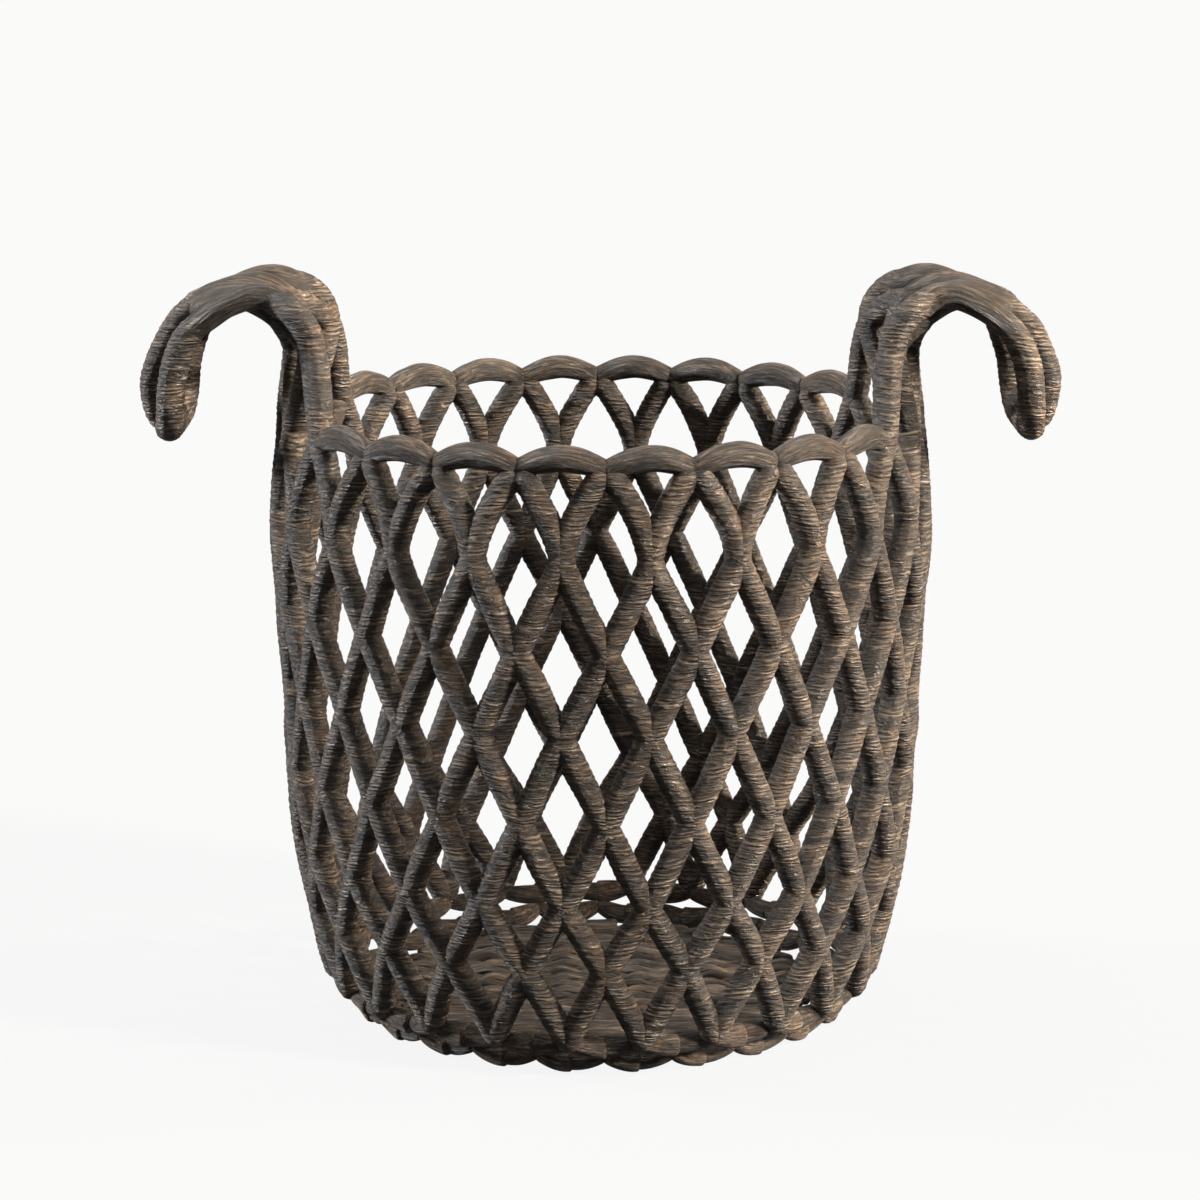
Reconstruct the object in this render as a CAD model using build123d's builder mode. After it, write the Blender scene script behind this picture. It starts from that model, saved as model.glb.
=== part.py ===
from build123d import *
import math
import os

os.makedirs("parts", exist_ok=True)

# Wicker log basket: an open lattice tub of wrapped strands with two crook handles.
# Millimetres, +Z up, origin at the centre of the resting plane, handles along X.

STRAND_RADIUS = 8.75
PITCHES = 24
PITCH_ANGLE = 360 / PITCHES

# Crossing rows of the wall, from the rim joints down to the foot.
ROW_HEIGHTS = [452.0, 386.1, 322.7, 260.4, 197.0, 135.4, 85.1, 29.2]
ROW_RADII = [234.9, 241.3, 239.2, 234.6, 233.0, 228.0, 220.2, 206.0]
ARCH_POWER = 1.65
LAP_CLEARANCE = 0.3
LEG_OVERCUT = 0.85
LEG_CLEARANCE = 0.8

# Rim and foot border scallops: thickness, distance from the axis and height of their
# centreline in the middle and at the ends.
RIM_MID_THICKNESS = 17.8
RIM_END_THICKNESS = 14.0
RIM_RISE = 7.7
FOOT_MID_THICKNESS = 14.8
FOOT_END_THICKNESS = 8.6
FOOT_UPPER_ENDS = (203.0, 25.5)
FOOT_UPPER_MIDDLE = (200.0, 23.2)
FOOT_LOWER_ENDS = (191.0, 13.6)
FOOT_LOWER_MIDDLE = (186.0, 6.0)
STRAND_FOOT_CUT = 31.0

# Base mat, which lies inside the lower foot border.
MAT_RADIUS = 168.0
MAT_BOTTOM = 4.2
MAT_THICKNESS = 6.4
WEAVER_COUNT = 20
STAKE_RADIUS = 1.9
STAKE_SPACING = 57.0

# Handle rows: joints at the rim, then two crossing rows, then eight strands abreast
# over the crown and down to the rounded tip.
HANDLE_EDGE_X = [203.4, 202.7, 225.4, 246.3, 269.6, 290.5, 306.8, 316.5]
HANDLE_EDGE_Z = [452.0, 516.6, 543.8, 553.6, 548.4, 536.1, 518.9, 489.2]
HANDLE_MID_X = [234.9, 228.9, 244.0, 267.3, 290.5, 311.4, 325.4, 334.0]
HANDLE_MID_Z = [452.0, 510.1, 533.3, 546.1, 545.0, 533.8, 515.9, 485.7]
HANDLE_HALF_WIDTH = [117.4, 104.3, 83.7, 66.15, 66.15, 66.15, 63.0, 59.5]
SLOT_SPACING = 18.9
FIRST_JOINT = 4
LAST_JOINT = 8


def blend(values, s):
    i = min(int(s), len(values) - 2)
    u = s - i
    p1 = values[i]
    p2 = values[i + 1]
    p0 = values[i - 1] if i > 0 else 2 * p1 - p2
    p3 = values[i + 2] if i + 2 < len(values) else 2 * p2 - p1
    linear = (p2 - p0) * u
    square = (2 * p0 - 5 * p1 + 4 * p2 - p3) * u * u
    cubic = (3 * p1 - p0 - 3 * p2 + p3) * u**3
    return 0.5 * (2 * p1 + linear + square + cubic)


def turned(point, degrees):
    return point.rotate(Axis.Z, degrees)


# Strands of lean +1 turn towards larger angles on the way down, lean -1 the other way.
def wall_point(s, lean, joint=0):
    if s < 1:
        turn = 1 - (1 - s) ** ARCH_POWER
        height = ROW_HEIGHTS[0] + (ROW_HEIGHTS[1] - ROW_HEIGHTS[0]) * s
        radius = ROW_RADII[0] + (ROW_RADII[1] - ROW_RADII[0]) * s
    elif s <= 7:
        turn = s
        height = blend(ROW_HEIGHTS, s)
        radius = blend(ROW_RADII, s)
    else:
        turn = s
        height = ROW_HEIGHTS[7] - (ROW_HEIGHTS[6] - ROW_HEIGHTS[7]) * (s - 7)
        radius = ROW_RADII[7] - (ROW_RADII[6] - ROW_RADII[7]) * (s - 7)
    angle = math.radians(joint * PITCH_ANGLE + lean * turn * PITCH_ANGLE / 2)
    return Vector(radius * math.sin(angle), -radius * math.cos(angle), height)


def outward(point):
    return Vector(point.X, point.Y, 0).normalized()


def tube(points):
    with BuildPart() as strand:
        with BuildLine() as path:
            Polyline(*points)
        with BuildSketch(Plane(origin=points[0], z_dir=points[1] - points[0])):
            Circle(STRAND_RADIUS)
        sweep(path=path.line, transition=Transition.RIGHT)
    return strand.part


# Half-lap joint: takes away the half of a strand on one side of the lattice surface
# where the other strand passes through. Each stretch of the other strand's centreline
# comes with a point and a normal of the lattice surface there.
def lapped(strand, stretches, side, overcut=0.02, clearance=LAP_CLEARANCE):
    thickness = 14
    for start, end, point, normal in stretches:
        along = end - start
        along = along - normal * along.dot(normal)
        middle = (start + end) * 0.5
        middle = middle - normal * (middle - point).dot(normal)
        width = 2 * STRAND_RADIUS + clearance
        frame = Plane(origin=middle, x_dir=along, z_dir=normal)
        block = Box(along.length + 12, width, thickness)
        strand = strand - frame * Pos(0, 0, side * (thickness / 2 - overcut)) * block
    return strand


def keep_side(strand, point, normal):
    block = Box(160, 160, 160)
    return strand - Plane(origin=point, z_dir=normal) * Pos(0, 0, -80) * block


def lap_wall_rows(strand, lean):
    for row in range(1, 7):
        crossing = wall_point(row, lean)
        normal = outward(crossing)
        steps = [row - 1, row, row + 1] if row > 1 else [0.33, 0.66, 1, 2]
        partner = [wall_point(step, -lean, lean * row) for step in steps]
        stretches = [(a, b, crossing, normal) for a, b in zip(partner, partner[1:])]
        strand = lapped(strand, stretches, -lean)
    return strand


def trim_foot(strand, lean):
    foot = wall_point(7, lean)
    across = Vector(0, 0, 1).cross(outward(foot))
    strand = keep_side(strand, foot, across * -lean)
    return keep_side(strand, Vector(foot.X, foot.Y, STRAND_FOOT_CUT), Vector(0, 0, 1))


WALL_STEPS = [7.3, 7, 6, 5, 4, 3, 2, 1, 0.66, 0.33, 0]


def wall_path(lean, joint=0):
    return [wall_point(step, lean, joint) for step in WALL_STEPS]


def wall_strand(lean):
    strand = tube(wall_path(lean))
    strand = lap_wall_rows(strand, lean)
    return trim_foot(strand, lean)


# Direction of the strand that carries on above the rim at the edge of a handle.
def rising_direction(lean):
    below = wall_point(0.33, lean)
    top = wall_point(0, lean)
    rise = top - below
    return Vector(rise.X, 0, rise.Z).normalized()


def rim_end(strand, lean):
    joint = wall_point(0, lean)
    strand = keep_side(strand, joint, Vector(lean, 0, 0))
    cut = Vector(0, joint.Y, ROW_HEIGHTS[0] - RIM_END_THICKNESS / 2)
    return keep_side(strand, cut, Vector(0, 0, -1))


def handle_edge_end(strand, lean):
    joint = wall_point(0, lean)
    rise = rising_direction(-lean)
    side = Vector(lean * rise.Z, 0, -lean * rise.X)
    return keep_side(strand, joint + side * (STRAND_RADIUS + 0.1), side)


# Handle surface: row t, and w from -1 at the front edge to +1 at the back edge.
def handle_surface(t, w):
    bulge = 1 - w * w
    edge_x = blend(HANDLE_EDGE_X, t)
    edge_z = blend(HANDLE_EDGE_Z, t)
    x = edge_x + (blend(HANDLE_MID_X, t) - edge_x) * bulge
    z = edge_z + (blend(HANDLE_MID_Z, t) - edge_z) * bulge
    return Vector(x, w * blend(HANDLE_HALF_WIDTH, t), z)


def spread(column):
    share = (column - 2) / 2
    return math.copysign(1 - (1 - abs(share)) ** 1.3, share)


# Column 0 to 4 of a strand at row t; strands turn back at the edges.
def strand_column(lean, joint, t):
    column = joint - FIRST_JOINT - lean * min(t, 2) / 2
    return abs(column) if column < 2 else 4 - abs(4 - column)


# Place across the crown, 1 at the front to 8 at the back.
def slot_position(lean, joint):
    column = strand_column(lean, joint, 2)
    if column == 0:
        return 1
    if column == 4:
        return 8
    return int(2 * column + (0 if lean > 0 else 1))


def slot_offset(lean, joint):
    return (slot_position(lean, joint) - 4.5) * SLOT_SPACING


def handle_point(lean, joint, t):
    if t <= 0:
        return wall_point(0, lean, joint)
    lower = spread(strand_column(lean, joint, t))
    if t <= 1:
        start = math.sin(math.radians((joint - 6) * PITCH_ANGLE)) / math.sin(math.radians(30))
        w = start + (spread(strand_column(lean, joint, 1)) - start) * t
        return handle_surface(t, w)
    if t <= 2:
        return handle_surface(t, lower)
    start = lower * HANDLE_HALF_WIDTH[2]
    share = 1 - (3 - t) ** 3
    offset = start + (slot_offset(lean, joint) - start) * share
    return handle_surface(t, offset / blend(HANDLE_HALF_WIDTH, t))


LEG_STEPS = [0.5, 1, 1.5, 2, 2.5, 3]


def handle_normal(t, w):
    across = handle_surface(t, w + 0.02) - handle_surface(t, w - 0.02)
    up = handle_surface(t + 0.05, w) - handle_surface(t - 0.05, w)
    return across.cross(up).normalized()


def partner_joint(lean, joint, t):
    for other in range(FIRST_JOINT, LAST_JOINT + 1):
        if not has_leg(-lean, other):
            continue
        if abs(strand_column(-lean, other, t) - strand_column(lean, joint, t)) < 0.01:
            return other
    return None


def has_leg(lean, joint):
    if lean > 0:
        return FIRST_JOINT < joint <= LAST_JOINT
    return FIRST_JOINT <= joint < LAST_JOINT


def leg_laps(strand, lean, joint):
    for t in (0, 1, 2):
        other = partner_joint(lean, joint, t)
        if other is None:
            continue
        crossing = handle_point(lean, joint, t)
        if t == 0:
            below = wall_point(0.33, -lean, other)
            normal = outward(crossing)
            joint_stretch = [(below, crossing, crossing, normal)]
            strand = lapped(strand, joint_stretch, -lean, LEG_OVERCUT, LEG_CLEARANCE)
        steps = [t - 1, t - 0.5, t, t + 0.5, t + 1]
        stretches = []
        for first, second in zip(steps, steps[1:]):
            if first < 0:
                continue
            middle = (first + second) / 2
            own = handle_point(lean, joint, middle)
            theirs = handle_point(-lean, other, middle)
            w = (own.Y + theirs.Y) / 2 / blend(HANDLE_HALF_WIDTH, middle)
            start = handle_point(-lean, other, first)
            end = handle_point(-lean, other, second)
            stretches.append((start, end, (own + theirs) * 0.5, handle_normal(middle, w)))
        strand = lapped(strand, stretches, -lean, LEG_OVERCUT, LEG_CLEARANCE)
    return strand


def crown_path(lean, joint):
    slot = slot_position(lean, joint)
    offset = slot_offset(lean, joint)
    points = [handle_point(lean, joint, 3)]
    last = 5.2 if slot in (2, 4, 5, 7) else 6
    t = 3.5
    while t <= last:
        w = offset / HANDLE_HALF_WIDTH[3]
        points.append(handle_surface(t, w))
        t += 0.5
    side = math.copysign(1, offset)
    if slot in (1, 8):
        points.append(Vector(316.0, side * 58.5, 492.0))
        points.append(Vector(318.5, side * 55.5, 469.0))
        points.append(Vector(320.0, side * 40.0, 454.0))
        points.append(Vector(323.0, side * 20.0, 449.0))
        points.append(Vector(324.0, 0, 448.0))
    if slot in (3, 6):
        points.append(Vector(333.0, side * 17.0, 487.0))
        points.append(Vector(331.0, side * 13.5, 467.0))
        points.append(Vector(329.0, side * 12.5, 459.0))
    return points


def crown_tube(lean, joint):
    points = crown_path(lean, joint)
    with BuildPart() as crown:
        with BuildLine() as path:
            Spline(*points)
        with BuildSketch(Plane(origin=points[0], z_dir=path.line % 0)):
            Circle(STRAND_RADIUS)
        sweep(path=path.line)
    return crown.part


def handle_strand(lean, joint):
    leg = [handle_point(lean, joint, step) for step in LEG_STEPS]
    strand = tube(wall_path(lean, joint) + leg)
    placed = Rot(0, 0, -joint * PITCH_ANGLE) * strand
    placed = lap_wall_rows(placed, lean)
    placed = trim_foot(placed, lean)
    strand = Rot(0, 0, joint * PITCH_ANGLE) * placed
    strand = leg_laps(strand, lean, joint)
    whole = strand + crown_tube(lean, joint)
    # The laps leave a loose crumb at one joint; only the strand itself is kept.
    return whole.solids().sort_by(SortBy.VOLUME)[-1]


# Lozenge scallop between two neighbouring radial planes, thick in the middle.
def scallop(ends, middle, end_thickness, mid_thickness, start_angle):
    with BuildPart() as piece:
        for i in range(7):
            u = i / 6
            bulge = math.sin(math.pi * u)
            angle = math.radians(start_angle + u * PITCH_ANGLE)
            radius = ends[0] + (middle[0] - ends[0]) * bulge
            height = ends[1] + (middle[1] - ends[1]) * bulge
            thickness = end_thickness + (mid_thickness - end_thickness) * bulge
            centre = Vector(radius * math.sin(angle), -radius * math.cos(angle), height)
            along = Vector(math.cos(angle), math.sin(angle), 0)
            with BuildSketch(Plane(origin=centre, x_dir=(0, 0, 1), z_dir=along)):
                Circle(thickness / 2)
        loft()
    return piece.part


def save(part, name):
    part.label = name
    export_step(part, "parts/" + name + ".step")


def group(pieces):
    return Compound(children=pieces)


def build_walls():
    ends = {}
    for lean in (1, -1):
        whole = wall_strand(lean)
        ends[lean, "rim"] = rim_end(whole, lean)
        ends[lean, "edge"] = handle_edge_end(whole, lean)
    names = {1: "wall_strand_right_leaning", -1: "wall_strand_left_leaning"}
    for lean in (1, -1):
        number = 0
        for joint in range(PITCHES):
            local = joint % 12
            if FIRST_JOINT <= local <= LAST_JOINT and has_leg(lean, local):
                continue
            kind = "edge" if FIRST_JOINT <= local <= LAST_JOINT else "rim"
            number += 1
            piece = Rot(0, 0, joint * PITCH_ANGLE) * ends[lean, kind]
            save(piece, f"{names[lean]}_{number:02d}")


def build_handles():
    for lean in (1, -1):
        for joint in range(FIRST_JOINT, LAST_JOINT + 1):
            if not has_leg(lean, joint):
                continue
            strand = handle_strand(lean, joint)
            slot = int(slot_position(lean, joint))
            if slot in (1, 8):
                side = Vector(0, -1 if slot == 1 else 1, 0)
                strand = keep_side_far(strand, side)
            save(strand, f"right_handle_strand_{slot}")
            save(Rot(0, 0, 180) * strand, f"left_handle_strand_{9 - slot}")


def keep_side_far(strand, side):
    block = Box(60, 60, 60)
    return strand - Pos(324, 0, 448) * Pos(0, -side.Y * 30, 0) * block


# Trims the end of a rim scallop against the strand that rises beside it.
def clear_of_leg(piece, lean):
    edge = FIRST_JOINT if lean < 0 else LAST_JOINT
    turn = Rot(0, 0, -edge * PITCH_ANGLE)
    above = (turn * Pos(*handle_point(lean, edge, 0.5))).position
    joint = wall_point(0, lean)
    rise = (above - joint).normalized()
    side = rise.cross(Vector(0, 1, 0)) * -lean
    return keep_side(piece, joint + side.normalized() * (STRAND_RADIUS + 0.1), side)


def build_rim():
    ends = (ROW_RADII[0], ROW_HEIGHTS[0])
    middle = (ROW_RADII[0], ROW_HEIGHTS[0] + RIM_RISE)
    plain = scallop(ends, middle, RIM_END_THICKNESS, RIM_MID_THICKNESS, 0)
    trimmed = {}
    for lean in (1, -1):
        rise = rising_direction(lean)
        side = Vector(lean * rise.Z, 0, -lean * rise.X)
        joint = wall_point(0, lean)
        piece = plain if lean > 0 else Rot(0, 0, -PITCH_ANGLE) * plain
        piece = keep_side(piece, joint + side * (STRAND_RADIUS + 0.1), side)
        trimmed[lean] = clear_of_leg(piece, lean)
    for name, first in (("rim_scallops_front", -4), ("rim_scallops_back", 8)):
        pieces = []
        for i in range(8):
            angle = (first + i) * PITCH_ANGLE
            if i == 0:
                pieces.append(Rot(0, 0, angle) * trimmed[1])
            elif i == 7:
                pieces.append(Rot(0, 0, angle + PITCH_ANGLE) * trimmed[-1])
            else:
                pieces.append(Rot(0, 0, angle) * plain)
        save(group(pieces), name)


def build_foot():
    thickness = (FOOT_END_THICKNESS, FOOT_MID_THICKNESS)
    upper = scallop(FOOT_UPPER_ENDS, FOOT_UPPER_MIDDLE, *thickness, -PITCH_ANGLE / 2)
    lower = scallop(FOOT_LOWER_ENDS, FOOT_LOWER_MIDDLE, *thickness, -PITCH_ANGLE / 2)
    # The lower tier stands on the floor on a small flat.
    lower = keep_side(lower, Vector(0, -FOOT_LOWER_MIDDLE[0], 0), Vector(0, 0, 1))
    lower = Rot(0, 0, PITCH_ANGLE / 2) * lower
    for name, piece in (("foot_border_upper", upper), ("foot_border_lower", lower)):
        pieces = [Rot(0, 0, i * PITCH_ANGLE) * piece for i in range(PITCHES)]
        save(group(pieces), name)


def build_mat():
    spacing = 2 * MAT_RADIUS / WEAVER_COUNT
    rows = {0: [], 1: []}
    for i in range(WEAVER_COUNT):
        y = (i - (WEAVER_COUNT - 1) / 2) * spacing
        far = abs(y) + 0.45 * spacing
        half = math.sqrt(MAT_RADIUS**2 - far**2)
        with BuildPart() as row:
            with BuildSketch(Plane.YZ.offset(-half)):
                with Locations((y, MAT_BOTTOM + MAT_THICKNESS / 2)):
                    Ellipse(spacing / 2 - 0.05, MAT_THICKNESS / 2)
            extrude(amount=2 * half)
        rows[i % 2].append(row.part)
    save(group(rows[0]), "base_weavers_odd_rows")
    save(group(rows[1]), "base_weavers_even_rows")
    stakes = []
    for i in range(-2, 4):
        x = (i - 0.5) * STAKE_SPACING
        half = math.sqrt((MAT_RADIUS - 1) ** 2 - x**2)
        with BuildPart() as stake:
            with BuildSketch(Plane.XZ.offset(-half)):
                with Locations((x, MAT_BOTTOM - STAKE_RADIUS - 0.1)):
                    Circle(STAKE_RADIUS)
            extrude(amount=2 * half)
        stakes.append(stake.part)
    save(group(stakes), "base_stakes")


build_walls()
build_handles()
build_rim()
build_foot()
build_mat()
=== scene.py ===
import math

import bpy
import numpy as np
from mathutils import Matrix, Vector


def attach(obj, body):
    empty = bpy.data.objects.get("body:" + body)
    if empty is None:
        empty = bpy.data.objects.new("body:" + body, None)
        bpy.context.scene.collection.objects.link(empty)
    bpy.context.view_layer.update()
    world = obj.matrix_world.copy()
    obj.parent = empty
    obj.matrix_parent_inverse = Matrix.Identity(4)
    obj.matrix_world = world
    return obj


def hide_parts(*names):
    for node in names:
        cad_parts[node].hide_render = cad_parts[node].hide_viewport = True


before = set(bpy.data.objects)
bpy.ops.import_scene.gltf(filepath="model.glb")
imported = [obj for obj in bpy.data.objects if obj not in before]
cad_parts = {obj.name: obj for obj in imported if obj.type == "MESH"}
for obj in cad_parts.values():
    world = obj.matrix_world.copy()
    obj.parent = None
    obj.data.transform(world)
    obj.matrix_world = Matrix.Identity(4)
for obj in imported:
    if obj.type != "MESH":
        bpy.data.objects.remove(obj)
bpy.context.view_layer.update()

# The frame's own axes: +Z up, floor at z = 0, handles along X. The wicker is worked out
# in millimetres until join takes it to metres; floor, lights and camera are in metres.
MM = 0.001
PITCHES = 24
PITCH = math.radians(360 / PITCHES)
STRAND_RADIUS = 9.1
ARCH_POWER = 1.65

# Height and distance from the axis of the rows where the wall strands cross, rim first.
ROW_HEIGHTS = [452.0, 386.1, 322.7, 260.4, 197.0, 135.4, 85.1, 29.2]
ROW_RADII = [234.9, 241.3, 239.2, 234.6, 233.0, 228.0, 220.2, 206.0]

# Section of the handle at its two edges and in its middle, from the rim joints over
# the crown to the tip, and half its width there.
HANDLE_EDGE_X = [203.4, 202.7, 225.4, 246.3, 269.6, 290.5, 306.8, 316.5]
HANDLE_EDGE_Z = [452.0, 516.6, 543.8, 553.6, 548.4, 536.1, 518.9, 489.2]
HANDLE_MID_X = [234.9, 228.9, 244.0, 267.3, 290.5, 311.4, 325.4, 334.0]
HANDLE_MID_Z = [452.0, 510.1, 533.3, 546.1, 545.0, 533.8, 515.9, 485.7]
HANDLE_HALF_WIDTH = [117.4, 104.3, 83.7, 66.15, 66.15, 66.15, 63.0, 59.5]
SLOT_SPACING = 18.9
# Rim joints under the right handle, counted from the front.
FIRST_JOINT = 4
MIDDLE_JOINT = 6
LAST_JOINT = 8

# Ribs that the wrapping leaves on a strand: two spacings that take turns.
COARSE_RIB = 6.9
CLOSE_RIB = 4.3
RIB_SHIFT = 1.9
RIB_HEIGHT = 0.32
# Turn of the lengthwise grain round a strand, in radians per millimetre.
GRAIN_TWIST = 0.018
# How fast the streaks of the wrapping and of the lengthwise grain change, per millimetre.
WRAP_ACROSS = 0.075
WRAP_DOWN = 0.36
GRAIN_ACROSS = 0.42
GRAIN_ALONG = 0.040
WRAP_SLOPE = 0.12
GRAIN_SHIFT = 40
TONE_SPREAD = 0.14
# What is left of a ring's area at the closed end of a tube.
END_SHARE = 0.0004

rng = np.random.default_rng(41)


# A smooth curve through values, at position s.
def blend(values, s):
    i = min(int(s), len(values) - 2)
    u = s - i
    p1 = values[i]
    p2 = values[i + 1]
    p0 = values[i - 1] if i > 0 else 2 * p1 - p2
    p3 = values[i + 2] if i + 2 < len(values) else 2 * p2 - p1
    linear = (p2 - p0) * u
    square = (2 * p0 - 5 * p1 + 4 * p2 - p3) * u * u
    cubic = (3 * p1 - p0 - 3 * p2 + p3) * u**3
    return 0.5 * (2 * p1 + linear + square + cubic)


# The point s rows below the rim on the strand that leans that way from a rim joint.
def wall_point(s, lean, joint):
    turn = 1 - (1 - s) ** ARCH_POWER if s < 1 else s
    if s <= 7:
        height = blend(ROW_HEIGHTS, s)
        radius = blend(ROW_RADII, s)
    else:
        height = ROW_HEIGHTS[7] - (ROW_HEIGHTS[6] - ROW_HEIGHTS[7]) * (s - 7)
        radius = ROW_RADII[7] - (ROW_RADII[6] - ROW_RADII[7]) * (s - 7)
    angle = joint * PITCH + lean * turn * PITCH / 2
    return np.array([radius * math.sin(angle), -radius * math.cos(angle), height])


# The handle's bent surface: t counts rows from the rim, w runs from -1 to 1 across it.
def handle_surface(t, w):
    bulge = 1 - w * w
    edge_x = blend(HANDLE_EDGE_X, t)
    edge_z = blend(HANDLE_EDGE_Z, t)
    x = edge_x + (blend(HANDLE_MID_X, t) - edge_x) * bulge
    z = edge_z + (blend(HANDLE_MID_Z, t) - edge_z) * bulge
    return np.array([x, w * blend(HANDLE_HALF_WIDTH, t), z])


# The place of column 0 to 4 across the handle, from -1 to 1.
def spread(column):
    share = (column - 2) / 2
    return math.copysign(1 - (1 - abs(share)) ** 1.3, share)


# Where a handle strand stands across the handle, turning back at its two edges.
def strand_column(lean, joint, t):
    column = joint - FIRST_JOINT - lean * min(t, 2) / 2
    return abs(column) if column < 2 else 4 - abs(4 - column)


# Place of a strand among the eight abreast on the crown, 1 at the front.
def slot_position(lean, joint):
    column = strand_column(lean, joint, 2)
    if column == 0:
        return 1
    if column == 4:
        return 8
    return int(2 * column + (0 if lean > 0 else 1))


def slot_offset(slot):
    return (slot - 4.5) * SLOT_SPACING


def handle_point(lean, joint, t):
    lower = spread(strand_column(lean, joint, t))
    if t <= 1:
        start = math.sin((joint - MIDDLE_JOINT) * PITCH)
        start /= math.sin((LAST_JOINT - MIDDLE_JOINT) * PITCH)
        w = start + (spread(strand_column(lean, joint, 1)) - start) * t
        return handle_surface(t, w)
    if t <= 2:
        return handle_surface(t, lower)
    start = lower * HANDLE_HALF_WIDTH[2]
    share = 1 - (3 - t) ** 3
    offset = start + (slot_offset(slot_position(lean, joint)) - start) * share
    return handle_surface(t, offset / blend(HANDLE_HALF_WIDTH, t))


def has_leg(lean, joint):
    if lean > 0:
        return FIRST_JOINT < joint <= LAST_JOINT
    return FIRST_JOINT <= joint < LAST_JOINT


# The same polyline with evenly spaced points.
def resample(points, step):
    points = np.asarray(points, float)
    gaps = np.linalg.norm(np.diff(points, axis=0), axis=1)
    length = np.concatenate([[0], np.cumsum(gaps)])
    count = max(int(round(length[-1] / step)), 4) + 1
    at = np.linspace(0, length[-1], count)
    return np.column_stack([np.interp(at, length, points[:, k]) for k in range(3)])


# Rounds the corners of an evenly spaced polyline and keeps its ends.
def ease(points, sigma, step):
    reach = int(3 * sigma / step)
    kernel = np.exp(-0.5 * (np.arange(-reach, reach + 1) * step / sigma) ** 2)
    kernel /= kernel.sum()
    before = 2 * points[0] - points[reach:0:-1]
    after = 2 * points[-1] - points[-2:-reach - 2:-1]
    long = np.vstack([before, points, after])
    return np.column_stack([np.convolve(long[:, k], kernel, "valid") for k in range(3)])


def smooth_path(points, step, sigma):
    dense = resample(points, step)
    return resample(ease(dense, sigma, step), step)


def curve_through(points, step):
    points = np.asarray(points, float)
    rows = [points[:, k].tolist() for k in range(3)]
    spans = len(points) - 1
    at = np.linspace(0, spans, spans * 12 + 1)
    dense = [[blend(row, s) for row in rows] for s in at]
    return resample(dense, step)


# A smooth random field: a sum of plane waves with directions and phases of its own.
class Waves:
    def __init__(self, wavelength, count=7):
        turn = rng.normal(size=(count, 3))
        turn /= np.linalg.norm(turn, axis=1)[:, None]
        scale = rng.uniform(0.7, 1.5, size=(count, 1))
        self.k = turn * 2 * math.pi / (wavelength * scale)
        self.phase = rng.uniform(0, 2 * math.pi, count)

    def __call__(self, points):
        return np.sin(points @ self.k.T + self.phase).mean(axis=-1) * 1.6


LUMPS = Waves(26)
WOBBLE = Waves(14)
PATCHES = Waves(9)
PATH_X = Waves(70)
PATH_Y = Waves(70)
PATH_Z = Waves(70)


def add_mesh(name, verts, faces, coords):
    mesh = bpy.data.meshes.new(name)
    mesh.vertices.add(len(verts))
    mesh.vertices.foreach_set("co", np.asarray(verts, np.float32).ravel())
    mesh.loops.add(faces.size)
    mesh.loops.foreach_set("vertex_index", faces.astype(np.int32).ravel())
    mesh.polygons.add(len(faces))
    mesh.polygons.foreach_set("loop_start", np.arange(len(faces), dtype=np.int32) * 4)
    mesh.polygons.foreach_set("use_smooth", np.ones(len(faces), dtype=bool))
    mesh.update(calc_edges=True)
    mesh.validate()
    for key, values in coords.items():
        kind = "FLOAT_VECTOR" if values.ndim == 2 else "FLOAT"
        layer = mesh.attributes.new(key, kind, "POINT")
        field = "vector" if kind == "FLOAT_VECTOR" else "value"
        layer.data.foreach_set(field, np.asarray(values, np.float32).ravel())
    piece = bpy.data.objects.new(name, mesh)
    bpy.context.scene.collection.objects.link(piece)
    return piece


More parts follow.
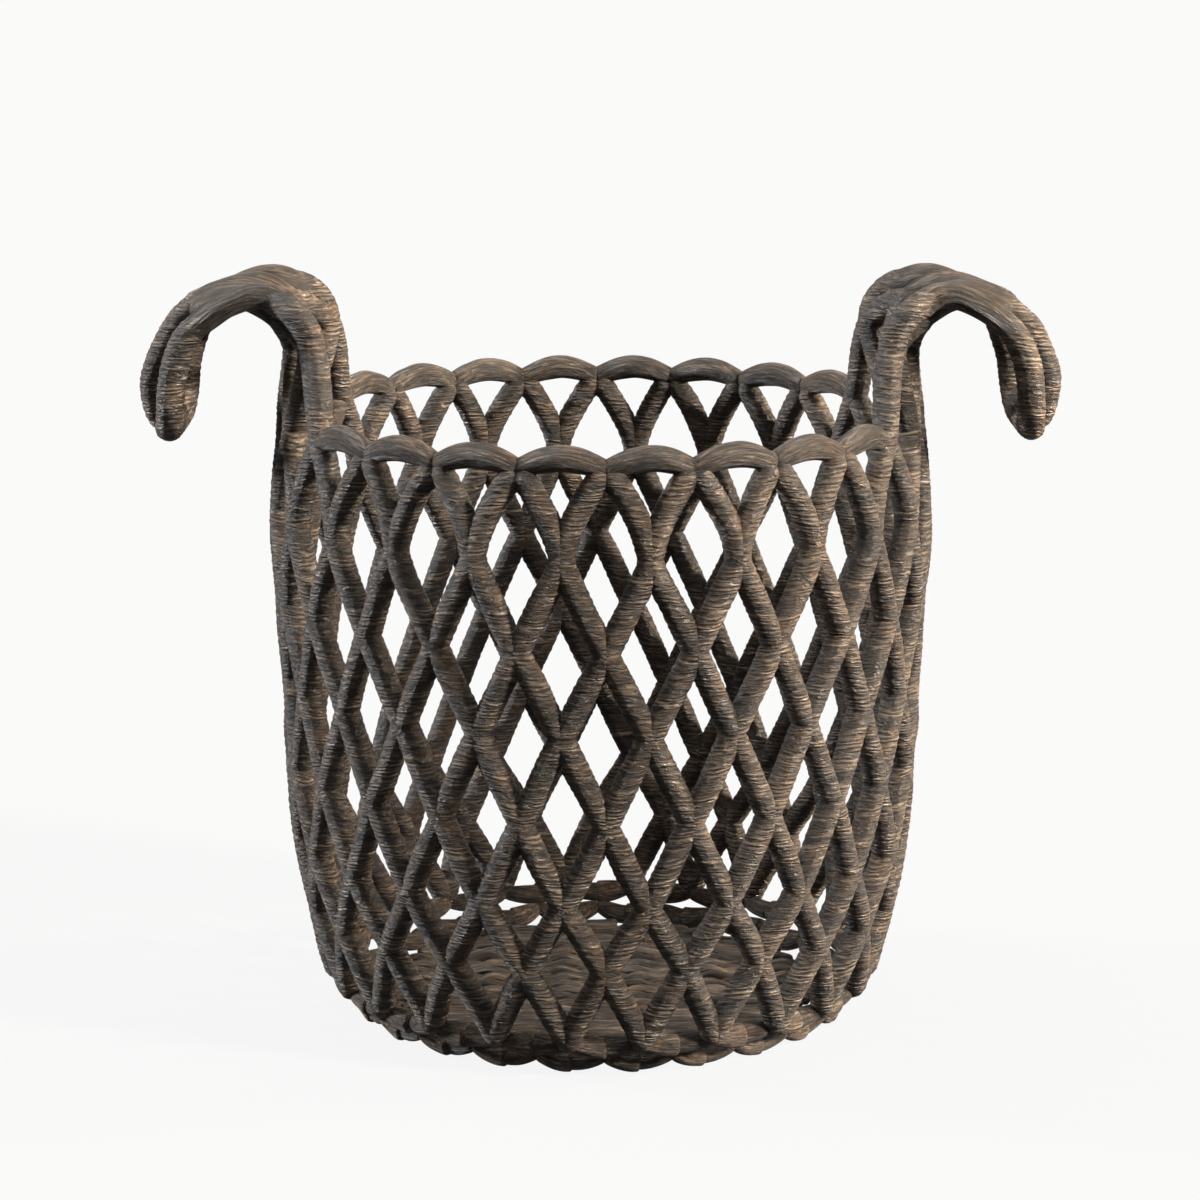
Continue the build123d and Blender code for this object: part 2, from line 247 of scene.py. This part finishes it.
# Rings round a path, with ribs where it is wrapped, shallow grooves where its grain
# shows and slow lumps everywhere. flat squashes the ring along the reference normal.
def tube(path, radius, normal, wrapness, segments, flat=1.0, lump=0.35, tone=1.0):
    path = np.asarray(path, float)
    n = len(path)
    tangent = np.gradient(path, axis=0)
    tangent /= np.linalg.norm(tangent, axis=1)[:, None]
    normal = np.broadcast_to(np.asarray(normal, float), path.shape).copy()
    normal -= tangent * np.sum(normal * tangent, axis=1)[:, None]
    normal /= np.linalg.norm(normal, axis=1)[:, None]
    binormal = np.cross(tangent, normal)
    gaps = np.linalg.norm(np.diff(path, axis=0), axis=1)
    along = np.concatenate([[0], np.cumsum(gaps)])
    theta = np.linspace(0, 2 * math.pi, segments, endpoint=False)
    cos = np.cos(theta)[None, :, None]
    sin = np.sin(theta)[None, :, None]
    radius = np.broadcast_to(np.asarray(radius, float), (n,))
    wrapness = np.broadcast_to(np.asarray(wrapness, float), (n,))
    direction = cos * normal[:, None, :] + sin * binormal[:, None, :]
    size = radius[:, None, None]
    squashed = cos * normal[:, None, :] * flat + sin * binormal[:, None, :]
    base = path[:, None, :] + size * squashed
    level = base[..., 2]
    shift = WOBBLE(base * [1, 1, 0.4]) * RIB_SHIFT
    coarse = np.sin((level + shift) * 2 * math.pi / COARSE_RIB)
    close = np.sin((level - 0.7 * shift) * 2 * math.pi / CLOSE_RIB)
    patchy = np.clip(PATCHES(base), -1, 1)
    wraps = coarse * (0.6 + 0.5 * patchy) + close * (0.5 - 0.5 * patchy)
    wraps = wraps * wrapness[:, None] * RIB_HEIGHT
    lumps = LUMPS(base) * lump
    turn = along[:, None] * GRAIN_TWIST + theta[None, :]
    grain = np.sin(turn * 5 + 1.3 * LUMPS(base)) * 0.22 + np.sin(turn * 9 + 2.0) * 0.12
    grain = grain * (1 - wrapness[:, None])
    end = np.minimum(radius / np.maximum(radius.max(), 1e-6), 1)
    push = (wraps + lumps + grain) * end[:, None]
    verts = base + direction * push[..., None]
    offset = rng.uniform(0, GRAIN_SHIFT, 3)
    slope = rng.uniform(-WRAP_SLOPE, WRAP_SLOPE, 2)
    wrap_coord = base * [WRAP_ACROSS, WRAP_ACROSS, WRAP_DOWN]
    wrap_coord[..., 2] += (base[..., 0] * slope[0] + base[..., 1] * slope[1]) * WRAP_DOWN
    fibre_a = size[..., 0] * np.cos(theta)[None, :] * GRAIN_ACROSS
    fibre_b = size[..., 0] * np.sin(theta)[None, :] * GRAIN_ACROSS
    fibre_s = np.broadcast_to(along[:, None] * GRAIN_ALONG, fibre_a.shape)
    grain_coord = np.stack([fibre_a, fibre_b, fibre_s], axis=-1) + offset
    mask = np.broadcast_to(wrapness[:, None], fibre_a.shape)
    i = np.arange(n - 1)[:, None]
    j = np.arange(segments)[None, :]
    nxt = (j + 1) % segments
    quads = np.stack([i * segments + j, i * segments + nxt,
                      (i + 1) * segments + nxt, (i + 1) * segments + j], axis=-1).reshape(-1, 4)
    shade = tone * rng.uniform(1 - TONE_SPREAD, 1 + TONE_SPREAD)
    return {
        "verts": verts.reshape(-1, 3),
        "faces": quads,
        "wrap": wrap_coord.reshape(-1, 3),
        "grain": grain_coord.reshape(-1, 3),
        "mask": mask.reshape(-1),
        "tone": np.full(n * segments, shade),
    }


# Shrinks the first and last rings to a point so that each tube closes on itself.
def rounded(path, radius, step):
    n = len(path)
    radius = np.broadcast_to(np.asarray(radius, float), (n,)).copy()
    at = np.arange(n) * step
    for distance in (at, at[::-1]):
        inside = np.clip(distance / np.maximum(radius, 1e-6), 0, 1)
        radius = radius * np.sqrt(np.clip(1 - (1 - inside) ** 2, END_SHARE, 1))
    return radius


def join(name, tubes):
    verts, faces, wrap, grain, mask, tone = [], [], [], [], [], []
    start = 0
    for part in tubes:
        verts.append(part["verts"])
        faces.append(part["faces"] + start)
        wrap.append(part["wrap"])
        grain.append(part["grain"])
        mask.append(part["mask"])
        tone.append(part["tone"])
        start += len(part["verts"])
    coords = {
        "wrap_coord": np.vstack(wrap),
        "grain_coord": np.vstack(grain),
        "wrapness": np.concatenate(mask),
        "tone": np.concatenate(tone),
    }
    return add_mesh(name, np.vstack(verts) * MM, np.vstack(faces), coords)


def turned(points, angle):
    c, s = math.cos(angle), math.sin(angle)
    points = np.asarray(points, float)
    out = points.copy()
    out[:, 0] = points[:, 0] * c - points[:, 1] * s
    out[:, 1] = points[:, 0] * s + points[:, 1] * c
    return out


# Level directions away from the axis of the basket.
def outward(path):
    flat = np.asarray(path, float) * [1, 1, 0]
    return flat / np.linalg.norm(flat, axis=1)[:, None]


# Takes a path slightly off its course, as wicker laid by hand is.
def wander(path, amount):
    path = np.asarray(path, float)
    shift = np.stack([PATH_X(path), PATH_Y(path), PATH_Z(path)], axis=-1)
    return path + shift * amount


# ---------------------------------------------------------------- materials

# LIGHT is the colour of the painted highlight on the ridges and of the worn speckles; DARK that
# of the painted shade in the grooves and of the random darker patches.
DARK = (0.0065, 0.0042, 0.0027)
MID = (0.034, 0.0238, 0.0160)
WARM = (0.062, 0.036, 0.0185)
LIGHT = (0.235, 0.176, 0.124)

# The streak height runs from 0 to 1: painted shade darkens the grooves up to GROOVE_FLOOR,
# and a painted highlight pales the ridges from RIDGE_FOOT on. The two amounts say how far the
# tone goes towards DARK and LIGHT there.
GROOVE_FLOOR = 0.36
RIDGE_FOOT = 0.51
GROOVE_PAINTED_SHADE = 0.92
RIDGE_HIGHLIGHT = 0.70
WORN_SHADE = 0.35
GRAIN_CONTRAST = 1.7
# Ribs of the wrapping: how close they are, how far noise bends them, how much they show.
RIB_RATE = 5.6
RIB_BEND = 15.0
RIB_SHARE = 0.20
BUMP_DEPTH = 0.0046
SPECULAR = 0.55
# Change of the roughness in the grooves and on the ridges.
GROOVE_ROUGHER = 0.25
RIDGE_SMOOTHER = 0.12


# Streaky wicker with painted shade in the grooves and a painted highlight on the ridges of a
# height that follows the wrapping where a strand is wrapped and its length where the grain
# shows.
def wicker(name, rough, bump, streak):
    mat = bpy.data.materials.new(name)
    mat.use_nodes = True
    tree = mat.node_tree
    tree.nodes.clear()
    new = tree.nodes.new
    link = tree.links.new

    def math_node(kind, a, b=None):
        node = new("ShaderNodeMath")
        node.operation = kind
        for slot, value in ((0, a), (1, b)):
            if value is None:
                continue
            if isinstance(value, (int, float)):
                node.inputs[slot].default_value = value
            else:
                link(value, node.inputs[slot])
        return node.outputs[0]

    def mix_float(factor, a, b):
        node = new("ShaderNodeMix")
        node.data_type = "FLOAT"
        link(factor, node.inputs["Factor"])
        link(a, node.inputs["A"])
        link(b, node.inputs["B"])
        return node.outputs["Result"]

    def mix_color(factor, a, b):
        node = new("ShaderNodeMix")
        node.data_type = "RGBA"
        link(factor, node.inputs["Factor"])
        for key, value in (("A", a), ("B", b)):
            socket = [s for s in node.inputs if s.name == key and s.type == "RGBA"][0]
            if isinstance(value, tuple):
                socket.default_value = (*value, 1)
            else:
                link(value, socket)
        return [s for s in node.outputs if s.type == "RGBA"][0]

    def attribute(key):
        node = new("ShaderNodeAttribute")
        node.attribute_name = key
        return node

    def noise(vector, scale, detail, roughness, distortion):
        node = new("ShaderNodeTexNoise")
        node.inputs["Scale"].default_value = scale
        node.inputs["Detail"].default_value = detail
        node.inputs["Roughness"].default_value = roughness
        node.inputs["Distortion"].default_value = distortion
        link(vector, node.inputs["Vector"])
        return node.outputs[0]

    def step(value, low, high):
        node = new("ShaderNodeMapRange")
        node.interpolation_type = "SMOOTHSTEP"
        node.inputs["From Min"].default_value = low
        node.inputs["From Max"].default_value = high
        link(value, node.inputs["Value"])
        return node.outputs[0]

    wrap = attribute("wrap_coord").outputs["Vector"]
    grain = attribute("grain_coord").outputs["Vector"]
    mask = attribute("wrapness").outputs["Fac"]
    place = new("ShaderNodeTexCoord").outputs["Object"]

    wrap_streaks = noise(wrap, 0.85, 5.0, 0.62, 1.3)
    split = new("ShaderNodeSeparateXYZ")
    link(wrap, split.inputs[0])
    bend = noise(wrap, 0.45, 2.0, 0.5, 0.0)
    bent = math_node("MULTIPLY", bend, RIB_BEND)
    level = math_node("ADD", math_node("MULTIPLY", split.outputs[2], RIB_RATE), bent)
    wave = math_node("MULTIPLY_ADD", math_node("SINE", level), 0.5)
    wave.node.inputs[2].default_value = 0.5
    ribbed = step(noise(wrap, 0.3, 1.0, 0.5, 0.0), 0.35, 0.65)
    wave_share = math_node("MULTIPLY", ribbed, RIB_SHARE)
    ribs = math_node("MULTIPLY", wave, wave_share)
    wrap_height = math_node("ADD", math_node("MULTIPLY", wrap_streaks, 0.90), ribs)

    grain_streaks = noise(grain, 1.25, 6.0, 0.68, 0.45)
    grain_fine = noise(grain, 3.6, 3.0, 0.65, 0.20)
    fine = math_node("MULTIPLY", grain_fine, 0.26)
    grain_height = math_node("ADD", math_node("MULTIPLY", grain_streaks, 0.74), fine)
    contrast = math_node("MULTIPLY", math_node("SUBTRACT", grain_height, 0.5), GRAIN_CONTRAST)
    grain_height = math_node("ADD", contrast, 0.5)
    height = mix_float(mask, grain_height, wrap_height)

    patch = noise(place, 34.0, 3.0, 0.55, 0.6)
    broad = noise(place, 9.0, 2.0, 0.5, 0.4)
    speckle = noise(place, 700.0, 2.0, 0.6, 0.0)

    tone = mix_color(step(patch, 0.42, 0.64), MID, WARM)
    tone = mix_color(math_node("MULTIPLY", step(broad, 0.35, 0.7), 0.35), tone, DARK)
    # Painted highlight: the tone is paled towards LIGHT on the ridges of the streak height.
    painted_highlight = step(height, RIDGE_FOOT, RIDGE_FOOT + streak)
    tone = mix_color(math_node("MULTIPLY", painted_highlight, RIDGE_HIGHLIGHT), tone, LIGHT)
    # Painted shade: the tone is darkened towards DARK in the grooves of the streak height.
    painted_shade = math_node("SUBTRACT", 1.0, step(height, GROOVE_FLOOR, RIDGE_FOOT))
    tone = mix_color(math_node("MULTIPLY", painted_shade, GROOVE_PAINTED_SHADE), tone, DARK)
    worn = math_node("MULTIPLY", step(speckle, 0.52, 0.75), step(patch, 0.5, 0.7))
    tone = mix_color(math_node("MULTIPLY", worn, WORN_SHADE), tone, LIGHT)

    scaled = new("ShaderNodeVectorMath")
    scaled.operation = "SCALE"
    link(tone, scaled.inputs[0])
    link(attribute("tone").outputs["Fac"], scaled.inputs["Scale"])

    shader = new("ShaderNodeBsdfPrincipled")
    link(scaled.outputs[0], shader.inputs["Base Color"])
    rough_range = new("ShaderNodeMapRange")
    rough_range.inputs["From Min"].default_value = 0.3
    rough_range.inputs["From Max"].default_value = 0.7
    rough_range.inputs["To Min"].default_value = rough + GROOVE_ROUGHER
    rough_range.inputs["To Max"].default_value = rough - RIDGE_SMOOTHER
    link(height, rough_range.inputs["Value"])
    link(rough_range.outputs[0], shader.inputs["Roughness"])
    shader.inputs["Specular IOR Level"].default_value = SPECULAR

    bumped = new("ShaderNodeBump")
    bumped.inputs["Strength"].default_value = bump
    bumped.inputs["Distance"].default_value = BUMP_DEPTH
    link(height, bumped.inputs["Height"])
    link(bumped.outputs[0], shader.inputs["Normal"])

    out = new("ShaderNodeOutputMaterial")
    link(shader.outputs[0], out.inputs["Surface"])
    return mat


WALL_MAT = wicker("wrapped_wall_strand", 0.36, 1.0, 0.18)
HANDLE_MAT = wicker("wrapped_handle_strand", 0.38, 1.0, 0.16)
RIM_MAT = wicker("smooth_rim_grain", 0.46, 0.9, 0.20)
FOOT_MAT = wicker("foot_border_grain", 0.50, 0.9, 0.24)
BASE_MAT = wicker("twined_base_grain", 0.50, 0.6, 0.24)


def finish(piece, mat, slot, *nodes):
    piece.data.materials.append(mat)
    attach(piece, "root")
    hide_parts(*nodes)


# ---------------------------------------------------------------- wall strands

STEP = 1.35
SEGMENTS = 22
# Where the wall strands end, in rows below the rim.
LAST_ROW = 7.12


def wall_path(lean, joint):
    return [wall_point(s, lean, joint) for s in np.linspace(0, LAST_ROW, 170)]


def wall_strand(lean, joint):
    path = smooth_path(wall_path(lean, joint), STEP, 4)
    path = wander(path, 0.7)
    radius = rounded(path, STRAND_RADIUS, STEP)
    return tube(path, radius, outward(path), 1.0, SEGMENTS)


def build_walls():
    names = {1: "wall_strand_right_leaning", -1: "wall_strand_left_leaning"}
    for lean in (1, -1):
        number = 0
        for joint in range(PITCHES):
            local = joint % (PITCHES // 2)
            if FIRST_JOINT <= local <= LAST_JOINT and has_leg(lean, local):
                continue
            number += 1
            node = f"{names[lean]}_{number:02d}"
            piece = join(node + "_wrapped", [wall_strand(lean, joint)])
            finish(piece, WALL_MAT, "wall_strand", node)


# ---------------------------------------------------------------- handles

# The strands are a little thicker on the legs and the tips, and a painted highlight makes
# the tips the palest part of the wicker.
HANDLE_SWELL = 1.3
TIP_PAINTED_HIGHLIGHT = 0.6
TIP_START_X = 296
TIP_BLEND = 22


# The way of one strand over the crown and down to the tip, where the two border
# strands turn inwards under the middle ones.
def crown_points(slot):
    offset = slot_offset(slot)
    points = []
    last = 5.2 if slot in (2, 4, 5, 7) else 6
    t = 3.0
    while t <= last:
        points.append(handle_surface(t, offset / blend(HANDLE_HALF_WIDTH, min(t, 3))))
        t += 0.5
    side = math.copysign(1, offset)
    if slot in (1, 8):
        points.append([316.0, side * 58.5, 492.0])
        points.append([318.5, side * 55.5, 469.0])
        points.append([320.0, side * 40.0, 454.0])
        points.append([323.0, side * 20.0, 449.0])
        points.append([324.0, side * -3.0, 448.0])
    if slot in (3, 6):
        points.append([334.5, side * 17.0, 487.0])
        points.append([333.5, side * 14.0, 468.0])
        points.append([330.0, side * 10.5, 456.0])
        points.append([325.0, side * 8.0, 449.0])
    return points


def handle_strand(lean, joint):
    slot = slot_position(lean, joint)
    below = wall_path(lean, joint)[::-1]
    leg = [handle_point(lean, joint, t) for t in np.linspace(0.05, 2.95, 40)]
    crown = curve_through(crown_points(slot), 2.0)
    path = smooth_path(np.vstack([below, leg, crown]), STEP, 5)
    path = wander(path, 0.6)
    raised = np.clip((path[:, 2] - 440) / 50, 0, 1)
    swell = raised * (1 - 0.7 * np.clip((path[:, 0] - 232) / 20, 0, 1))
    swell = np.maximum(swell, np.clip((path[:, 0] - 290) / 20, 0, 1))
    radius = rounded(path, STRAND_RADIUS + HANDLE_SWELL * swell, STEP)
    # Wraps on the legs, lengthwise grain over the crown, wraps again on the tip.
    inner = np.clip((path[:, 0] - 232) / 12, 0, 1)
    outer = np.clip((path[:, 0] - 290) / 14, 0, 1)
    wrapness = 1 - inner * (1 - outer) * np.clip((path[:, 2] - 505) / 20, 0, 1)
    centre = np.array([250.0, 0.0, 470.0])
    above = np.clip((path[:, 2] - 440) / 60, 0, 1)[:, None]
    crown_normal = path - centre
    crown_normal[:, 1] *= 0.2
    crown_normal /= np.linalg.norm(crown_normal, axis=1)[:, None]
    normal = outward(path) * (1 - above) + crown_normal * above
    return tube(path, radius, normal, wrapness, SEGMENTS)


def build_handles():
    for side, turn in (("right", 0), ("left", math.pi)):
        for lean in (1, -1):
            for joint in range(FIRST_JOINT, LAST_JOINT + 1):
                if not has_leg(lean, joint):
                    continue
                part = handle_strand(lean, joint)
                # Painted highlight: the tone rises towards the outer end of each tip.
                beyond = part["verts"][:, 0] - TIP_START_X
                part["tone"] *= 1 + TIP_PAINTED_HIGHLIGHT * np.clip(beyond / TIP_BLEND, 0, 1)
                slot = slot_position(lean, joint)
                if turn:
                    part["verts"] = turned(part["verts"], turn)
                    slot = 9 - slot
                node = f"{side}_handle_strand_{slot}"
                piece = join(node + "_wrapped", [part])
                finish(piece, HANDLE_MAT, "handle_strand", node)


# ---------------------------------------------------------------- rim and foot scallops

RIM_RADIUS = 234.9
RIM_HEIGHT = 452.0
RIM_RISE = 7.7
RIM_MIDDLE_RADIUS = 9.4
RIM_END_RADIUS = 6.6
# How far a scallop runs on past its joints, as a share of the pitch.
RIM_TUCK = 0.075
RIM_SEGMENTS = 30


def rim_scallop(start):
    u = np.linspace(-RIM_TUCK, 1 + RIM_TUCK, 54)
    inside = np.clip(u, 0, 1)
    bulge = np.sin(math.pi * inside) ** 0.85
    size = RIM_END_RADIUS + (RIM_MIDDLE_RADIUS - RIM_END_RADIUS) * bulge
    edge = np.clip(np.minimum(u + RIM_TUCK, 1 + RIM_TUCK - u) / (RIM_TUCK * 1.6), 0, 1)
    size = size * np.sqrt(np.clip(1 - (1 - edge) ** 2, END_SHARE, 1))
    angle = start + u * PITCH
    level = RIM_HEIGHT + RIM_RISE * np.sin(math.pi * inside)
    path = np.column_stack([RIM_RADIUS * np.sin(angle), -RIM_RADIUS * np.cos(angle), level])
    return tube(path, size, outward(path), 0.0, RIM_SEGMENTS, lump=0.25)


def build_rim():
    for name, first in (("rim_scallops_front", -4), ("rim_scallops_back", 8)):
        leaves = []
        for i in range(8):
            leaves.append(rim_scallop((first + i) * PITCH))
        piece = join(name + "_grained", leaves)
        finish(piece, RIM_MAT, "rim_border", name)


FOOT_TIP_RADIUS = 3.8
FRONT_HALF_RADIUS = 9.0
FRONT_HALF_TONE = 1.9
REAR_HALF_RADIUS = 7.9
REAR_HALF_INSET = 1.6
# How far a half leaf runs on past its tip and past the seam, as a share of its length.
PAST_TIP = 0.14
PAST_SEAM = 0.10


# Each foot scallop is two half leaves that meet in a seam at its widest point, the
# first one in front of the second.
def half_leaf(ends, middle, mid, tip, seam, tone, inset):
    u = np.linspace(-PAST_TIP, 1 + PAST_SEAM, 36)
    inside = np.clip(u, 0, 1)
    bulge = np.sin(math.pi / 2 * inside)
    size = FOOT_TIP_RADIUS + (mid - FOOT_TIP_RADIUS) * bulge**0.5
    edge = np.clip(np.minimum((u + PAST_TIP) / 0.22, (1 + PAST_SEAM - u) / 0.16), 0, 1)
    size = size * np.sqrt(np.clip(1 - (1 - edge) ** 2, END_SHARE, 1))
    angle = tip + (seam - tip) * u
    radius = ends[0] + (middle[0] - ends[0]) * bulge - inset * bulge
    height = ends[1] + (middle[1] - ends[1]) * bulge
    path = np.column_stack([radius * np.sin(angle), -radius * np.cos(angle), height])
    return tube(path, size, outward(path), 0.0, SEGMENTS, lump=0.45, tone=tone)


# Node, (distance from the axis, height) at the tips and in the middle, first scallop's
# turn in pitches.
FOOT_TIERS = (
    ("foot_border_upper", (203.0, 25.5), (200.0, 23.2), -0.5),
    ("foot_border_lower", (191.0, 13.5), (186.0, 8.0), 0.0),
)


def build_foot():
    for name, ends, middle, first in FOOT_TIERS:
        halves = []
        for i in range(PITCHES):
            left = (first + i) * PITCH
            right = (first + i + 1) * PITCH
            seam = (left + right) / 2
            halves.append(
                half_leaf(ends, middle, FRONT_HALF_RADIUS, left, seam, FRONT_HALF_TONE, 0.0)
            )
            halves.append(
                half_leaf(ends, middle, REAR_HALF_RADIUS, right, seam, 1.0, REAR_HALF_INSET)
            )
        for part in halves:
            part["verts"][:, 2] = np.maximum(part["verts"][:, 2], 0.0)
        piece = join(name + "_grained", halves)
        finish(piece, FOOT_MAT, "foot_border", name)


# ---------------------------------------------------------------- base mat

MAT_RADIUS = 168.0
MAT_MIDDLE = 6.2
WEAVER_COUNT = 20
STAKE_SPACING = 57.0
WEAVER_RADIUS = 4.3
WEAVER_STEP = 1.6
WEAVER_TONES = (0.85, 1.35)
WEAVER_SEGMENTS = 14
# How far the two strands of a row stand off its middle line, sideways and up.
PAIR_SPREAD = 4.2
PAIR_LIFT = 4.0
# How quickly a pair changes over.
CHANGE_SHARPNESS = 1.2
STAKE_RADIUS = 1.9
STAKE_HEIGHT = 2.2


# Each row is a pair of strands twined round the stakes: side by side between two
# stakes, and changing over in a short slanting cross at each one.
def build_mat():
    spacing = 2 * MAT_RADIUS / WEAVER_COUNT
    rows = {0: [], 1: []}
    for i in range(WEAVER_COUNT):
        y = (i - (WEAVER_COUNT - 1) / 2) * spacing
        far = abs(y) + 0.45 * spacing
        half = math.sqrt(MAT_RADIUS**2 - far**2)
        x = np.linspace(-half, half, max(int(2 * half / WEAVER_STEP), 8))
        hand = 1 if i % 2 else -1
        for strand in (0, 1):
            phase = math.pi * (x / STAKE_SPACING) * hand + strand * math.pi
            side = np.tanh(CHANGE_SHARPNESS * np.cos(phase)) / math.tanh(CHANGE_SHARPNESS)
            lift = np.sin(phase) * (1 - side**2)
            path = np.column_stack([x, y + PAIR_SPREAD * side, MAT_MIDDLE + PAIR_LIFT * lift])
            radius = rounded(path, WEAVER_RADIUS, WEAVER_STEP)
            tone = WEAVER_TONES[strand]
            weaver = tube(
                path, radius, [0, 0, 1], 0.0, WEAVER_SEGMENTS, flat=0.8, lump=0.3, tone=tone
            )
            rows[i % 2].append(weaver)
    for key, name in ((0, "base_weavers_odd_rows"), (1, "base_weavers_even_rows")):
        for part in rows[key]:
            part["verts"][:, 2] = np.maximum(part["verts"][:, 2], 0.4)
        finish(join(name + "_twined", rows[key]), BASE_MAT, "base_weave", name)
    stakes = []
    for i in range(-2, 4):
        x = (i - 0.5) * STAKE_SPACING
        half = math.sqrt((MAT_RADIUS - 1) ** 2 - x**2)
        y = np.linspace(-half, half, int(half))
        path = np.column_stack([np.full_like(y, x), y, np.full_like(y, STAKE_HEIGHT)])
        stakes.append(tube(path, rounded(path, STAKE_RADIUS, 2.0), [0, 0, 1], 0.0, 12, lump=0.1))
    finish(join("base_stakes_grained", stakes), BASE_MAT, "base_stake", "base_stakes")


build_walls()
build_handles()
build_rim()
build_foot()
build_mat()

# ---------------------------------------------------------------- floor, light and camera

scene = bpy.context.scene
PALE = (0.956, 0.956, 0.956, 1)
# The floor is nearly all glow, so that it is as pale as the world behind it; the small
# matte share shows the shadow.
FLOOR_GLOW = 0.958
FLOOR_MATTE_SHARE = 0.03
FLOOR_REACH = 90.0
FLOOR_DROP = 0.0005
# Strength of the world's light from below and from above.
WORLD_LOW = 0.14
WORLD_HIGH = 0.34
FOCAL_LENGTH = 105.5
SENSOR_WIDTH = 36
EYE = (-0.0389, -2.6290, 0.8514)
EYE_TILT = math.radians(78.415)
EYE_TURN = -0.0148


def pale_floor():
    mat = bpy.data.materials.new("pale_floor")
    mat.use_nodes = True
    tree = mat.node_tree
    tree.nodes.clear()
    glow = tree.nodes.new("ShaderNodeEmission")
    glow.inputs["Color"].default_value = PALE
    glow.inputs["Strength"].default_value = FLOOR_GLOW
    matte = tree.nodes.new("ShaderNodeBsdfDiffuse")
    matte.inputs["Color"].default_value = (0.75, 0.75, 0.75, 1)
    share = tree.nodes.new("ShaderNodeMixShader")
    share.inputs[0].default_value = FLOOR_MATTE_SHARE
    out = tree.nodes.new("ShaderNodeOutputMaterial")
    tree.links.new(glow.outputs[0], share.inputs[1])
    tree.links.new(matte.outputs[0], share.inputs[2])
    tree.links.new(share.outputs[0], out.inputs["Surface"])
    mesh = bpy.data.meshes.new("floor")
    reach = FLOOR_REACH
    corners = [(-reach, -reach, 0), (reach, -reach, 0), (reach, reach, 0), (-reach, reach, 0)]
    mesh.from_pydata(corners, [], [(0, 1, 2, 3)])
    mesh.materials.append(mat)
    floor = bpy.data.objects.new("floor", mesh)
    floor.location.z = -FLOOR_DROP
    # The floor only catches the soft shadow; it doesn't throw light up into the basket.
    floor.visible_diffuse = False
    floor.visible_glossy = False
    scene.collection.objects.link(floor)


def world_light():
    world = bpy.data.worlds.new("studio")
    world.use_nodes = True
    tree = world.node_tree
    back = tree.nodes["Background"]
    back.inputs["Color"].default_value = PALE
    place = tree.nodes.new("ShaderNodeTexCoord")
    split = tree.nodes.new("ShaderNodeSeparateXYZ")
    rise = tree.nodes.new("ShaderNodeMapRange")
    rise.inputs["From Min"].default_value = -0.35
    rise.inputs["From Max"].default_value = 0.75
    rise.inputs["To Min"].default_value = WORLD_LOW
    rise.inputs["To Max"].default_value = WORLD_HIGH
    tree.links.new(place.outputs["Generated"], split.inputs[0])
    tree.links.new(split.outputs[2], rise.inputs["Value"])
    tree.links.new(rise.outputs[0], back.inputs["Strength"])
    scene.world = world


def sun(name, direction, strength, softness, color):
    light = bpy.data.lights.new(name, "SUN")
    light.energy = strength
    light.angle = math.radians(softness)
    light.color = color
    lamp = bpy.data.objects.new(name, light)
    lamp.rotation_euler = Vector(direction).to_track_quat("Z", "Y").to_euler()
    scene.collection.objects.link(lamp)


def camera():
    lens = bpy.data.cameras.new("camera")
    lens.lens = FOCAL_LENGTH
    lens.sensor_width = SENSOR_WIDTH
    lens.shift_x = -0.83 / 1200
    eye = bpy.data.objects.new("camera", lens)
    eye.location = EYE
    eye.rotation_euler = (EYE_TILT, 0, EYE_TURN)
    scene.collection.objects.link(eye)
    scene.camera = eye


pale_floor()
world_light()
sun("key", (0.90, -0.42, 0.55), 8.6, 9, (1.0, 0.93, 0.84))
sun("right_edge", (1.0, 0.22, 0.22), 7.4, 8, (1.0, 0.84, 0.66))
sun("left_edge", (-1.0, 0.28, 0.30), 5.2, 8, (0.97, 0.98, 1.0))
sun("top", (-0.15, 0.15, 1.0), 1.9, 35, (1.0, 0.97, 0.92))
camera()
scene.view_settings.view_transform = "Standard"
scene.view_settings.look = "None"
